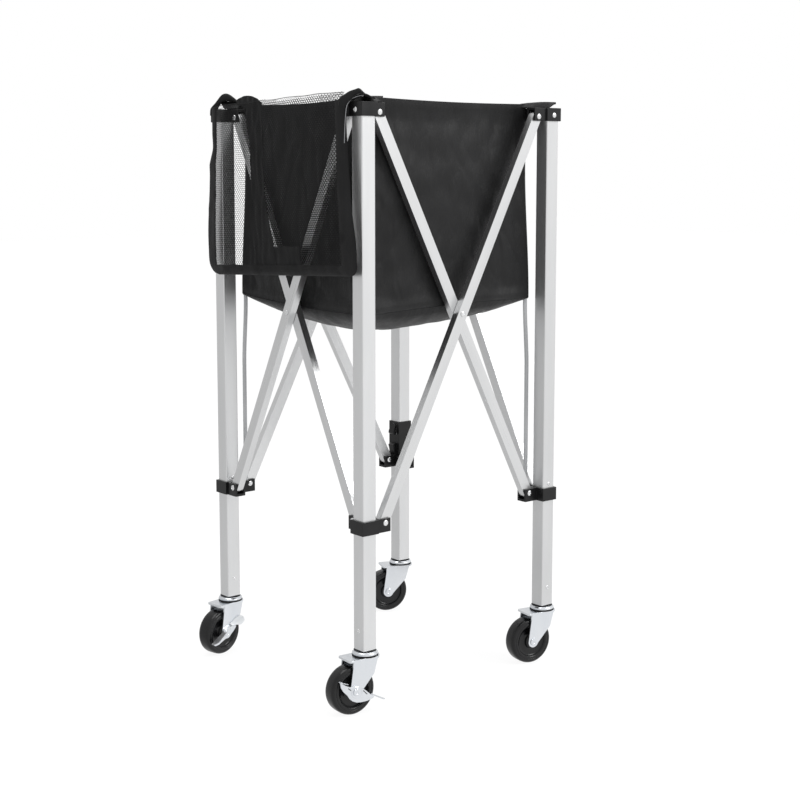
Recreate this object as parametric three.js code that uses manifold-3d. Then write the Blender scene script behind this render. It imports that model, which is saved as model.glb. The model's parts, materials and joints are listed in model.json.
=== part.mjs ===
// Folding ball cart on four swivel casters, with a hung bag and a net pocket on one side.
// Millimetres, +Z up, floor at Z 0. The origin is on the floor under the middle of the whole cart.
// Corner 0 is the front leg. Corners 0 to 3 run anticlockwise seen from above, and side 0 joins
// corners 0 and 1 along +X. Each side has two crossed bars: the inner bar hangs from the top of its
// first corner, and the outer bar from the top of its second corner.
import * as THREE from 'three';
import * as BufferGeometryUtils from 'three/addons/utils/BufferGeometryUtils.js';
import Module from 'manifold-3d';

const wasm = await Module();
wasm.setup();

// Frame
const legSpacing = 377;
const legTube = 25;
const legWall = 1.3;
const legCornerRadius = 2;
const legLength = 820;
const runningGap = 0.3;
const overrun = 1;

// Casters
const wheelDiameter = 76;
const wheelWidth = 26;
const wheelShoulder = 4;
const wheelHubLength = 29.4;
const wheelHubDiameter = 24;
const wheelWebWidth = 17;
const wheelRimInnerDiameter = 52;
const swivelDrop = 58;
const casterTrail = 28;
const axleDiameter = 8;
const axleHeadDiameter = 13;
const axleHeadThickness = 2.4;
const yokePlate = 2.5;
const yokeHeadThickness = 3;
const yokeHeadRadius = 22;
const yokeHeadTail = 38;
const yokeLobeRadius = 9.5;
const raceDiameter = 40;
const raceThickness = 6.9;
const stemDiameter = 10;
const stemLength = 35;
const kingpinHeadDiameter = 18;
const kingpinHeadThickness = 2;
const plugFlange = 1.5;
const plugLength = 42;
const swivelAngles = [175, 170, 158, 192];
const brakeTilts = { 0: 27, 3: -26 };
// Yoke side: where its back edge bends, as shares of the head's radius and of the drop to the axle
const yokeBendShares = [-0.25, 0.5];
const yokeLobeStart = 200;

// Brake lever: its plate's outline as shares of its front reach, or rear reach, and of its width below
// the axle. The pedal at the front and the tab at the rear are folded out along the plate's top edge.
const leverThickness = 2;
const leverDepth = 12.6;
const leverFrontReach = 52;
const leverRearReach = 40;
const leverEdgeHeight = 5.6;
const pedalWidth = 11;
const leverShares = [
  [1, 0.36], [0.72, -0.33], [0.4, -0.78], [0.02, -1], [-0.24, -0.64], [-0.53, 0.12],
  [-1, 0.27], [-1, 0.44], [-0.55, 0.44], [-0.15, 0.75], [0.44, 0.5], [1, 0.44],
];
const pedalLengthShare = 0.46;
const rearTabLengthShare = 0.3;

// Brackets
const bracketWall = 2.7;
const bracketHeight = 21;
const bracketCap = 2.7;
const sliderRise = 179;
const pivotInset = 7;
const pivotOffset = 31;
const forkReach = 40.5;
const forkCheek = 3.25;
const forkRoot = 20.5;
const forkWeb = 4;
const pinDiameter = 5;
const cordLug = 6;

// Bars
const barWidth = 18;
const barThickness = 12;
const barWall = 1.2;
const layerGap = 0.5;
const outerLayer = -2.75;
const rivetHeadDiameter = 9;
const rivetHeadHeight = 1.8;

// Latch
const latchHeight = 62;
const latchWall = 1.6;
const latchButtonWidth = 14;
const latchButtonHeight = 20;
const latchButtonReach = 8.4;
const latchButtonDrop = 4;
const latchTravelGap = 2.4;
const buttonShoulderShare = 0.25;
const buttonChinShare = 0.125;
const ledgeReach = 8.4;
const ledgeChin = 4;
const ledgeFootShare = 0.4;
const ledgeDrop = 39;

// Bag and its cords
const bagWall = 2;
const bagInset = 19.8;
const bagCorner = 48;
const bagRise = 12;
const bagDepth = 328;
const bagSag = 52;
const bagSagSteps = 6;
const tabThickness = 2;
const tabSize = 28;
const cordDiameter = 7.2;
const cordOffset = 21;
const cordOverlap = 95;

// Pocket
const pocketWall = 1.5;
const pocketDepth = 21.5;
const pocketEdgeBack = 6;
const pocketEdgeFront = 14;
const pocketBackTaper = 45;
const pocketFrontTaper = 70;
const pocketGap = 0.4;
const pocketTopWidth = 366;
const pocketBottomWidth = 404;
const pocketHeight = 276;
const pocketTop = 13;
const pocketShift = 5;
const pocketTilt = 2.6;
const pocketCornerRadius = 26;
const hangerWidth = 27;
const frontHangerLength = 33;
const frontHangerHeight = 19;
const leftHangerLength = 46;
const leftHangerHeight = 27.5;

// Worked out from the sizes above
const half = legSpacing / 2;
const quarterTurn = Math.PI / 2;
const axleHeight = wheelDiameter / 2;
const legBottom = axleHeight + swivelDrop;
const legTop = legBottom + legLength;
const topBracketTop = legTop + runningGap + bracketCap;
const topBracketBottom = topBracketTop - bracketHeight;
const sliderBottom = legBottom + sliderRise;
const sliderTop = sliderBottom + bracketHeight;
const topPivot = topBracketBottom + pivotInset;
const sliderPivot = sliderTop - pivotInset;
const sleeveHole = legTube + 2 * runningGap;
const sleeveSize = sleeveHole + 2 * bracketWall;
const innerLayer = outerLayer + barThickness + layerGap;
const slotWidth = barThickness + 2 * runningGap;
const pivotSpread = legSpacing - 2 * pivotOffset;
const pivotDrop = topPivot - sliderPivot;
const barLength = Math.hypot(pivotSpread, pivotDrop);
const barLean = Math.atan2(pivotSpread, pivotDrop);
const bagTop = topBracketTop + bagRise;
const bagBottom = bagTop - bagDepth;

const plastic = { color: 0x1c1c1e, roughness: 0.55, metalness: 0 };
const aluminium = { color: 0xc9cacc, roughness: 0.35, metalness: 0.9 };
const zinc = { color: 0xd4d8da, roughness: 0.25, metalness: 0.95 };
const tread = { color: 0x202022, roughness: 0.6, metalness: 0 };
const nylon = { color: 0x27272a, roughness: 0.85, metalness: 0 };
const net = { color: 0x18181a, roughness: 0.9, metalness: 0 };
const elastic = { color: 0xc4c6c8, roughness: 0.7, metalness: 0 };

const cart = new THREE.Group();

function toSolid(geometry) {
  const bare = geometry.clone();
  bare.deleteAttribute('normal');
  bare.deleteAttribute('uv');
  const merged = BufferGeometryUtils.mergeVertices(bare);
  return new wasm.Manifold(new wasm.Mesh({
    numProp: 3,
    vertProperties: new Float32Array(merged.attributes.position.array),
    triVerts: new Uint32Array(merged.index.array),
  }));
}

function toGeometry(solid) {
  const mesh = solid.getMesh();
  const geometry = new THREE.BufferGeometry();
  geometry.setAttribute('position', new THREE.BufferAttribute(new Float32Array(mesh.vertProperties), 3));
  geometry.setIndex(new THREE.BufferAttribute(new Uint32Array(mesh.triVerts), 1));
  geometry.computeVertexNormals();
  return geometry;
}

function place(name, solid, finish, parent) {
  const mesh = new THREE.Mesh(toGeometry(solid), new THREE.MeshStandardMaterial(finish));
  mesh.name = name;
  parent.add(mesh);
  return mesh;
}

// A box between two corners
function block(low, high) {
  const size = high.map((value, axis) => value - low[axis]);
  const geometry = new THREE.BoxGeometry(...size);
  geometry.translate(...low.map((value, axis) => value + size[axis] / 2));
  return toSolid(geometry);
}

// A round rod along Y between two places
function rodAlongY(radius, from, to, x, z, sides) {
  const geometry = new THREE.CylinderGeometry(radius, radius, to - from, sides);
  geometry.translate(x, (from + to) / 2, z);
  return toSolid(geometry);
}

// A round rod along Z between two heights
function rodAlongZ(radius, from, to, x, y, sides) {
  const geometry = new THREE.CylinderGeometry(radius, radius, to - from, sides);
  geometry.rotateX(quarterTurn);
  geometry.translate(x, y, (from + to) / 2);
  return toSolid(geometry);
}

// An outline in plan, from one height to another
function slab(shape, from, to, curveSegments = 6) {
  const geometry = new THREE.ExtrudeGeometry(shape, { depth: to - from, bevelEnabled: false, curveSegments });
  geometry.translate(0, 0, from);
  return toSolid(geometry);
}

// An outline of (along X, along Z), from one Y to another
function plate(shape, from, to, curveSegments = 6) {
  const geometry = new THREE.ExtrudeGeometry(shape, { depth: to - from, bevelEnabled: false, curveSegments });
  geometry.rotateX(quarterTurn);
  geometry.translate(0, to, 0);
  return toSolid(geometry);
}

function outline(points) {
  return new THREE.Shape(points.map(([x, y]) => new THREE.Vector2(x, y)));
}

function roundedSquare(size, radius) {
  const h = size / 2;
  const shape = new THREE.Shape();
  shape.moveTo(h, -h + radius);
  shape.lineTo(h, h - radius);
  shape.absarc(h - radius, h - radius, radius, 0, quarterTurn, false);
  shape.lineTo(-h + radius, h);
  shape.absarc(-h + radius, h - radius, radius, quarterTurn, 2 * quarterTurn, false);
  shape.lineTo(-h, -h + radius);
  shape.absarc(-h + radius, -h + radius, radius, 2 * quarterTurn, 3 * quarterTurn, false);
  shape.lineTo(h - radius, -h);
  shape.absarc(h - radius, -h + radius, radius, 3 * quarterTurn, 4 * quarterTurn, false);
  return shape;
}

// A solid turned about an axis along Z, from a profile of (radius, height) that starts and ends on the axis
function turned(profile, segments) {
  const geometry = new THREE.LatheGeometry(profile.map(([r, z]) => new THREE.Vector2(r, z)), segments);
  geometry.rotateX(quarterTurn);
  return toSolid(geometry);
}

// Leg: a square tube, open at both ends
function legSolid() {
  const outside = slab(roundedSquare(legTube, legCornerRadius), legBottom, legTop, 3);
  const bore = legTube - 2 * legWall;
  return outside.subtract(block(
    [-bore / 2, -bore / 2, legBottom - overrun],
    [bore / 2, bore / 2, legTop + overrun],
  ));
}

// Two fork blocks beside the leg. The first reaches along +X to the next corner, the second along +Y.
function forkBlocks(firstLayer, secondLayer, low, high) {
  const side = slotWidth / 2 + forkCheek;
  const root = sleeveSize / 2 - bracketWall / 2;
  const first = block([root, firstLayer - side, low], [forkReach, firstLayer + side, high]);
  const second = block([secondLayer - side, root, low], [secondLayer + side, forkReach, high]);
  return first.add(second);
}

function forkSlots(firstLayer, secondLayer, low, high) {
  const side = slotWidth / 2;
  const end = forkReach + overrun;
  const first = block([forkRoot, firstLayer - side, low], [end, firstLayer + side, high]);
  const second = block([secondLayer - side, forkRoot, low], [secondLayer + side, end, high]);
  return first.add(second);
}

// The two pivot pins, one across each fork
function forkPins(firstLayer, secondLayer, height) {
  const side = slotWidth / 2 + forkCheek / 2;
  const first = rodAlongY(pinDiameter / 2, firstLayer - side, firstLayer + side, pivotOffset, height, 12);
  const across = new THREE.CylinderGeometry(pinDiameter / 2, pinDiameter / 2, 2 * side, 12);
  across.rotateZ(quarterTurn);
  across.translate(secondLayer, pivotOffset, height);
  return first.add(toSolid(across));
}

function sleeve(size, low, high) {
  return block([-size / 2, -size / 2, low], [size / 2, size / 2, high]);
}

function legHole(low, high) {
  return sleeve(sleeveHole, low, high);
}

// Top bracket: a cap on the leg, with the inner bar in its first fork and the outer bar in its second
function topBracketSolid() {
  return sleeve(sleeveSize, topBracketBottom, topBracketTop)
    .add(forkBlocks(innerLayer, outerLayer, topBracketBottom, topBracketTop))
    .subtract(forkSlots(innerLayer, outerLayer, topBracketBottom - overrun, topBracketTop - forkWeb))
    .add(forkPins(innerLayer, outerLayer, topPivot))
    .subtract(legHole(topBracketBottom - overrun, topBracketTop - bracketCap));
}

// Slider: a sleeve on the leg, with the outer bar in its first fork, the inner bar in its second,
// and above them the latch tower, or a lug under the cord at its inside corner
function sliderSolid(hasLatch) {
  const lugEnd = cordOffset + cordDiameter / 2 + layerGap;
  const lugStart = sleeveSize / 2 - bracketWall / 2;
  const low = [lugStart, lugStart, sliderTop - cordLug];
  const upper = hasLatch ? latchTower() : block(low, [lugEnd, lugEnd, sliderTop]);
  return sleeve(sleeveSize, sliderBottom, sliderTop)
    .add(forkBlocks(outerLayer, innerLayer, sliderBottom, sliderTop))
    .add(upper)
    .subtract(forkSlots(outerLayer, innerLayer, sliderBottom + forkWeb, sliderTop + overrun))
    .add(forkPins(outerLayer, innerLayer, sliderPivot))
    .subtract(legHole(sliderBottom - overrun, sliderTop + latchHeight + overrun));
}

// Latch tower: a thin sleeve above the slider, with a window for the button and a ledge below it
function latchTower() {
  const size = sleeveHole + 2 * latchWall;
  const top = sliderTop + latchHeight;
  const face = size / 2;
  const windowTop = top - latchButtonDrop + runningGap;
  const windowBottom = top - latchButtonDrop - latchButtonHeight - runningGap;
  const windowSide = latchButtonWidth / 2 + runningGap;
  const ledgeTop = top - ledgeDrop;
  const ledge = outline([
    [face - latchWall / 2, ledgeTop],
    [face, ledgeTop],
    [face + ledgeReach, ledgeTop - ledgeChin],
    [face + ledgeReach * ledgeFootShare, sliderTop - runningGap],
    [face - latchWall / 2, sliderTop - runningGap],
  ]);
  return sleeve(size, sliderTop - overrun, top)
    .subtract(block([0, -windowSide, windowBottom], [face + overrun, windowSide, windowTop]))
    .add(plate(ledge, -latchButtonWidth / 2, latchButtonWidth / 2));
}

// Latch button: a wedge hinged at its top edge, which a thumb presses towards the leg
function latchButtonSolid() {
  const face = sleeveHole / 2 + latchWall;
  const back = legTube / 2 + latchTravelGap;
  const top = sliderTop + latchHeight - latchButtonDrop;
  const bottom = top - latchButtonHeight;
  const shape = outline([
    [back, top],
    [face + latchButtonReach * buttonShoulderShare, top],
    [face + latchButtonReach, bottom + latchButtonHeight * buttonShoulderShare],
    [face + latchButtonReach, bottom + latchButtonHeight * buttonChinShare],
    [face + latchButtonReach / 2, bottom],
    [back, bottom],
  ]);
  return plate(shape, -latchButtonWidth / 2, latchButtonWidth / 2);
}

// Bar: a flat tube with round ends, hanging down from its top pivot, with a hole at each pivot
function barSolid() {
  const stadium = (radius) => {
    const shape = new THREE.Shape();
    shape.absarc(0, 0, radius, 0, 2 * quarterTurn, false);
    shape.absarc(0, -barLength, radius, 2 * quarterTurn, 4 * quarterTurn, false);
    return shape;
  };
  let solid = plate(stadium(barWidth / 2), -barThickness / 2, barThickness / 2, 5);
  const cavity = barThickness / 2 - barWall;
  solid = solid.subtract(plate(stadium(barWidth / 2 - barWall), -cavity, cavity, 5));
  for (const drop of [0, barLength / 2, barLength]) {
    const reach = barThickness / 2 + overrun;
    solid = solid.subtract(rodAlongY(pinDiameter / 2 + runningGap, -reach, reach, 0, -drop, 12));
  }
  return solid;
}

// Crossing rivet: through both bars of a side, with a flat head on each face
function crossingRivetSolid() {
  const outerFace = outerLayer - barThickness / 2 - runningGap;
  const innerFace = innerLayer + barThickness / 2 + runningGap;
  const head = rivetHeadDiameter / 2;
  return rodAlongY(pinDiameter / 2, outerFace - rivetHeadHeight / 2, innerFace + rivetHeadHeight / 2, 0, 0, 12)
    .add(rodAlongY(head, outerFace - rivetHeadHeight, outerFace, 0, 0, 12))
    .add(rodAlongY(head, innerFace, innerFace + rivetHeadHeight, 0, 0, 12));
}

// Leg plug: a plastic insert in the end of the leg, with a flange under it and a socket for the stem
function legPlugSolid() {
  const flangeTop = legBottom - runningGap;
  const flangeBottom = flangeTop - plugFlange;
  const insert = legTube - 2 * legWall - 2 * runningGap;
  const socketTop = flangeBottom + stemLength + runningGap;
  return sleeve(legTube, flangeBottom, flangeTop)
    .add(sleeve(insert, flangeBottom, flangeBottom + plugLength))
    .subtract(rodAlongZ(stemDiameter / 2 + runningGap, flangeBottom - overrun, socketTop, 0, 0, 16));
}

// Caster stem: the stem, the ball race's upper plate and the kingpin's head under the yoke
function casterStemSolid() {
  const raceTop = legBottom - 2 * runningGap - plugFlange;
  const raceBottom = raceTop - raceThickness;
  const headTop = raceBottom - 2 * runningGap - yokeHeadThickness;
  const race = raceDiameter / 2;
  const stem = stemDiameter / 2;
  return turned([
    [0, headTop - kingpinHeadThickness],
    [kingpinHeadDiameter / 2, headTop - kingpinHeadThickness],
    [kingpinHeadDiameter / 2, headTop],
    [stem, headTop],
    [stem, raceBottom],
    [race - raceThickness / 2, raceBottom],
    [race, raceBottom + raceThickness / 3],
    [race, raceTop - raceThickness / 3],
    [race - raceThickness / 3, raceTop],
    [stem, raceTop],
    [stem, raceTop + stemLength - plugFlange],
    [0, raceTop + stemLength - plugFlange],
  ], 24);
}

// Yoke: a head under the race and a tapered plate down each side of the wheel. Trails along +X.
function casterYokeSolid() {
  const headTop = legBottom - 3 * runningGap - plugFlange - raceThickness;
  const headBottom = headTop - yokeHeadThickness;
  const inside = wheelHubLength / 2 + runningGap;
  const outside = inside + yokePlate;
  const head = new THREE.Shape();
  const rim = Math.asin(outside / yokeHeadRadius);
  head.absarc(0, 0, yokeHeadRadius, 2 * quarterTurn - rim, 2 * quarterTurn + rim, false);
  head.lineTo(yokeHeadTail - yokePlate, -outside);
  head.lineTo(yokeHeadTail, -outside + yokePlate);
  head.lineTo(yokeHeadTail, outside - yokePlate);
  head.lineTo(yokeHeadTail - yokePlate, outside);
  const side = new THREE.Shape();
  const sideTop = headBottom + yokeHeadThickness / 2;
  const [bendAcross, bendDown] = yokeBendShares;
  side.moveTo(casterTrail + yokeLobeRadius, axleHeight);
  side.lineTo(casterTrail + yokePlate, sideTop);
  side.lineTo(yokeLobeRadius - yokeHeadRadius, sideTop);
  side.lineTo(yokeHeadRadius * bendAcross, headBottom - (headBottom - axleHeight) * bendDown);
  side.absarc(casterTrail, axleHeight, yokeLobeRadius, THREE.MathUtils.degToRad(yokeLobeStart),
    4 * quarterTurn, false);
  return slab(head, headBottom, headTop)
    .add(plate(side, inside, outside, 8))
    .add(plate(side, -outside, -inside, 8))
    .subtract(rodAlongZ(stemDiameter / 2 + runningGap, headBottom - overrun, headTop + overrun, 0, 0, 16))
    .subtract(rodAlongY(axleDiameter / 2 + runningGap, -outside - overrun, outside + overrun,
      casterTrail, axleHeight, 12));
}

// Wheel: a black tread and web on a hub, turned about Y at its own centre
function wheelSolid() {
  const rim = wheelDiameter / 2;
  const side = wheelWidth / 2;
  const hub = wheelHubLength / 2;
  const web = wheelWebWidth / 2;
  const bore = axleDiameter / 2 + runningGap;
  const halfProfile = [
    [bore, hub],
    [wheelHubDiameter / 2, hub],
    [wheelHubDiameter / 2, web],
    [wheelRimInnerDiameter / 2, web],
    [wheelRimInnerDiameter / 2 + wheelShoulder / 2, side],
    [rim - wheelShoulder, side],
    [rim - wheelShoulder / 3, side - wheelShoulder / 3],
    [rim, side - wheelShoulder],
  ];
  const mirrored = halfProfile.map(([r, y]) => [r, -y]).reverse();
  const profile = [...halfProfile, ...mirrored, halfProfile[0]];
  const points = profile.map(([r, y]) => new THREE.Vector2(r, y)).reverse();
  return toSolid(new THREE.LatheGeometry(points, 36));
}

// Axle: riveted over outside the yoke, and outside the brake lever where there is one
function axleSolid(hasBrake) {
  const seat = wheelHubLength / 2 + runningGap + yokePlate + runningGap;
  const leverSeat = hasBrake ? seat + leverThickness + runningGap : seat;
  const head = axleHeadDiameter / 2;
  return rodAlongY(axleDiameter / 2, -seat - axleHeadThickness / 2, leverSeat + axleHeadThickness / 2, 0, 0, 12)
    .add(rodAlongY(head, leverSeat, leverSeat + axleHeadThickness, 0, 0, 18))
    .add(rodAlongY(head, -seat - axleHeadThickness, -seat, 0, 0, 18));
}

// Brake lever: a stamped plate on the axle, with a pedal folded out at its front and a tab at its rear
function brakeLeverSolid() {
  const seat = wheelHubLength / 2 + 2 * runningGap + yokePlate;
  const shape = outline(leverShares.map(([along, up]) => [
    along * (along < 0 ? leverFrontReach : leverRearReach),
    up * leverDepth,
  ]));
  const edgeBottom = leverEdgeHeight - leverThickness;
  const frontPedal = block(
    [-leverFrontReach, seat, edgeBottom],
    [-leverFrontReach * (1 - pedalLengthShare), seat + pedalWidth, leverEdgeHeight],
  );
  const rearTab = block(
    [leverRearReach * (1 - rearTabLengthShare), seat, edgeBottom],
    [leverRearReach, seat + pedalWidth / 2, leverEdgeHeight],
  );
  const holeEnd = seat + leverThickness + overrun;
  return plate(shape, seat, seat + leverThickness)
    .add(frontPedal)
    .add(rearTab)
    .subtract(rodAlongY(axleDiameter / 2 + runningGap, seat - overrun, holeEnd, 0, 0, 12));
}

// Bag panel of side 0: a wall between two cut corners, with a tab over the first top bracket
function bagPanelSolid() {
  const cut = bagCorner - bagInset;
  const seam = runningGap / 2;
  const middle = bagCorner / 2;
  const innerCut = cut + bagWall * (Math.SQRT2 - 1);
  const end = legSpacing;
  const wall = outline([
    [middle + seam, middle - seam],
    [cut, bagInset],
    [end - cut, bagInset],
    [end - middle - seam, middle - seam],
    [end - middle - seam - bagWall / Math.SQRT2, middle - seam + bagWall / Math.SQRT2],
    [end - innerCut, bagInset + bagWall],
    [innerCut, bagInset + bagWall],
    [middle + seam + bagWall / Math.SQRT2, middle - seam + bagWall / Math.SQRT2],
  ]);
  const tabLow = topBracketTop + runningGap;
  const tab = outline([
    [-tabSize / 2, -tabSize / 2],
    [tabSize / 2, -tabSize / 2],
    [cut + bagWall / 2, bagInset + bagWall / 2],
    [middle + bagWall / 2, middle - bagWall / 2],
    [-tabSize / 2, tabSize / 2],
  ]);
  return slab(wall, bagBottom, bagTop).add(slab(tab, tabLow, tabLow + tabThickness));
}

// Half of the bag's bottom, inside its walls, from the wall of side 0 to the middle. It sags towards
// the middle of the bag.
function bagBottomSolid() {
  const edge = bagInset + bagWall + runningGap;
  const cut = bagCorner + (bagWall + runningGap) * Math.SQRT2 - edge;
  const reach = half - edge;
  const deep = reach - runningGap / 2;
  const columns = 2 * bagSagSteps + 1;
  const rows = bagSagSteps + 1;
  const positions = [];
  for (const lift of [0, bagWall]) {
    for (let row = 0; row < rows; row += 1) {
      const y = deep * row / bagSagSteps - reach;
      const wide = reach - Math.max(0, cut - edge - (y + reach));
      for (let column = 0; column < columns; column += 1) {
        const x = wide * (column / bagSagSteps - 1);
        const sag = bagSag * (1 - (x / reach) ** 2) * (1 - (y / reach) ** 2);
        positions.push(half + x, half + y, bagBottom - sag + lift);
      }
    }
  }
  return toSolid(sheetGeometry(positions, rows, columns));
}

// A closed sheet between two layers of points, each in rows and columns
function sheetGeometry(positions, rows, columns) {
  const layer = rows * columns;
  const indices = [];
  const quad = (a, b, c, d) => indices.push(a, b, c, a, c, d);
  for (let row = 0; row < rows - 1; row += 1) {
    for (let column = 0; column < columns - 1; column += 1) {
      const low = row * columns + column;
      quad(low, low + columns, low + columns + 1, low + 1);
      quad(layer + low, layer + low + 1, layer + low + columns + 1, layer + low + columns);
    }
    const left = row * columns;
    const right = left + columns - 1;
    quad(left, left + layer, left + columns + layer, left + columns);
    quad(right, right + columns, right + columns + layer, right + layer);
  }
  for (let column = 0; column < columns - 1; column += 1) {
    const back = (rows - 1) * columns + column;
    quad(column, column + 1, column + 1 + layer, column + layer);
    quad(back, back + layer, back + 1 + layer, back + 1);
  }
  const geometry = new THREE.BufferGeometry();
  geometry.setAttribute('position', new THREE.BufferAttribute(new Float32Array(positions), 3));
  geometry.setIndex(indices);
  return geometry;
}

// Pocket: a flat net bag, open at the top, across the outside of side 3. Its ends taper to bound edges,
// and it hangs a little higher at the front leg. Outline of (along Y, along Z) about its middle.
function pocketOutline(inset, top) {
  const bottom = inset - pocketHeight / 2;
  const wide = pocketBottomWidth / 2 - inset;
  const narrow = pocketTopWidth / 2 - inset;
  const radius = pocketCornerRadius - inset;
  const shape = new THREE.Shape();
  shape.moveTo(narrow, top);
  shape.lineTo(-narrow, top);
  shape.lineTo(-wide, bottom + radius);
  shape.absarc(-wide + radius, bottom + radius, radius, 2 * quarterTurn, 3 * quarterTurn, false);
  shape.absarc(wide - radius, bottom + radius, radius, 3 * quarterTurn, 4 * quarterTurn, false);
  return shape;
}

// The pocket's plan, out from its back, with the given wall taken off all round
function pocketPlan(inset) {
  const end = pocketBottomWidth / 2;
  const halfPlan = [
    [-inset, end - pocketBackTaper],
    [-pocketEdgeBack - inset, end],
    [-pocketEdgeFront + inset, end],
    [-pocketDepth + inset, end - pocketFrontTaper],
  ];
  const mirrored = halfPlan.map(([x, y]) => [x, -y]).reverse();
  return slab(outline([...halfPlan, ...mirrored]), -pocketHeight, pocketHeight);
}

function pocketSolid() {
  const top = pocketHeight / 2;
  const layer = (inset, height) => {
    const geometry = new THREE.ExtrudeGeometry(pocketOutline(inset, height), {
      depth: pocketDepth + 2 * overrun,
      bevelEnabled: false,
      curveSegments: 5,
    });
    geometry.rotateX(quarterTurn);
    geometry.rotateZ(quarterTurn);
    geometry.translate(-pocketDepth - overrun, 0, 0);
    return toSolid(geometry).intersect(pocketPlan(inset));
  };
  const shell = layer(0, top).subtract(layer(pocketWall, top + overrun));
  const geometry = toGeometry(shell);
  geometry.rotateX(-THREE.MathUtils.degToRad(pocketTilt));
  geometry.translate(-half - sleeveSize / 2 - pocketGap, pocketShift, topBracketTop + pocketTop - top);
  const back = -half - sleeveSize / 2 - pocketGap;
  return toSolid(geometry).subtract(block(
    [back - pocketDepth / 2, -pocketBottomWidth, topBracketTop + tabThickness],
    [back + overrun, pocketBottomWidth, topBracketTop + pocketHeight],
  ));
}

// Pocket hanger: a loop of cloth over the top of a leg
function hangerSolid(length, height) {
  const low = topBracketTop + tabThickness + 2 * runningGap;
  const start = -sleeveSize / 2 - pocketDepth / 2;
  const shape = new THREE.Shape();
  shape.moveTo(start, low);
  shape.lineTo(start + length, low);
  shape.quadraticCurveTo(start + length, low + height, start + length / 2, low + height);
  shape.quadraticCurveTo(start, low + height, start, low);
  return plate(shape, -hangerWidth / 2, hangerWidth / 2, 8);
}

const cornerNames = ['front', 'right', 'back', 'left'];
const sideNames = ['right_front', 'right_back', 'left_back', 'left_front'];

function addCaster(corner, index) {
  const name = cornerNames[index];
  const hasBrake = index in brakeTilts;
  const caster = new THREE.Group();
  caster.position.set(-half, -half, 0);
  caster.rotation.z = THREE.MathUtils.degToRad(swivelAngles[index]) - index * quarterTurn;
  corner.add(caster);
  place(`leg_plug_${name}`, legPlugSolid(), plastic, corner).position.set(-half, -half, 0);
  place(`caster_stem_${name}`, casterStemSolid(), zinc, caster);
  place(`caster_yoke_${name}`, casterYokeSolid(), zinc, caster);
  const wheelGroup = new THREE.Group();
  wheelGroup.position.set(casterTrail, 0, axleHeight);
  caster.add(wheelGroup);
  place(`wheel_${name}`, wheelSolid(), tread, wheelGroup);
  place(`axle_${name}`, axleSolid(hasBrake), zinc, wheelGroup);
  if (hasBrake) {
    const lever = place(`brake_lever_${name}`, brakeLeverSolid(), zinc, wheelGroup);
    lever.rotation.y = -THREE.MathUtils.degToRad(brakeTilts[index]);
  }
}

function addCorner(index) {
  const name = cornerNames[index];
  const sideName = sideNames[index];
  const corner = new THREE.Group();
  corner.rotation.z = index * quarterTurn;
  cart.add(corner);

  const post = new THREE.Group();
  post.position.set(-half, -half, 0);
  corner.add(post);
  place(`leg_${name}`, legSolid(), aluminium, post);
  place(`top_bracket_${name}`, topBracketSolid(), plastic, post);
  const hasLatch = index === 2;
  place(`slider_${name}`, sliderSolid(hasLatch), plastic, post);
  if (hasLatch) {
    place('latch_button', latchButtonSolid(), plastic, post);
  } else {
    place(`bag_cord_${name}`, rodAlongZ(cordDiameter / 2, sliderTop + runningGap, bagBottom + cordOverlap,
      cordOffset, cordOffset, 10), elastic, post);
  }
  place(`bag_panel_${sideName}`, bagPanelSolid(), nylon, post);

  const innerBar = place(`inner_bar_${sideName}`, barSolid(), aluminium, post);
  innerBar.position.set(pivotOffset, innerLayer, topPivot);
  innerBar.rotation.y = -barLean;
  const outerBar = place(`outer_bar_${sideName}`, barSolid(), aluminium, post);
  outerBar.position.set(legSpacing - pivotOffset, outerLayer, topPivot);
  outerBar.rotation.y = barLean;
  place(`crossing_rivet_${sideName}`, crossingRivetSolid(), zinc, post)
    .position.set(half, 0, (topPivot + sliderPivot) / 2);

  addCaster(corner, index);
}

for (let index = 0; index < cornerNames.length; index += 1) {
  addCorner(index);
}

// The bottom's two halves hang from the right front and left back panels
for (const [name, turn] of [['bag_bottom_front', 0], ['bag_bottom_back', 2]]) {
  const side = new THREE.Group();
  side.rotation.z = turn * quarterTurn;
  cart.add(side);
  place(name, bagBottomSolid(), nylon, side).position.set(-half, -half, 0);
}

place('pocket', pocketSolid(), net, cart);
place('pocket_hanger_front', hangerSolid(frontHangerLength, frontHangerHeight), nylon, cart)
  .position.set(-half, -half, 0);
place('pocket_hanger_left', hangerSolid(leftHangerLength, leftHangerHeight), nylon, cart)
  .position.set(-half, half, 0);

// The origin goes under the middle of the whole cart
const bounds = new THREE.Box3().setFromObject(cart, true);
cart.position.set(-(bounds.min.x + bounds.max.x) / 2, -(bounds.min.y + bounds.max.y) / 2, -bounds.min.z);

export default cart;
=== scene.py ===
import json
import math

import bmesh
import bpy
import numpy as np
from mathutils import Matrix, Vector, noise


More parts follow.
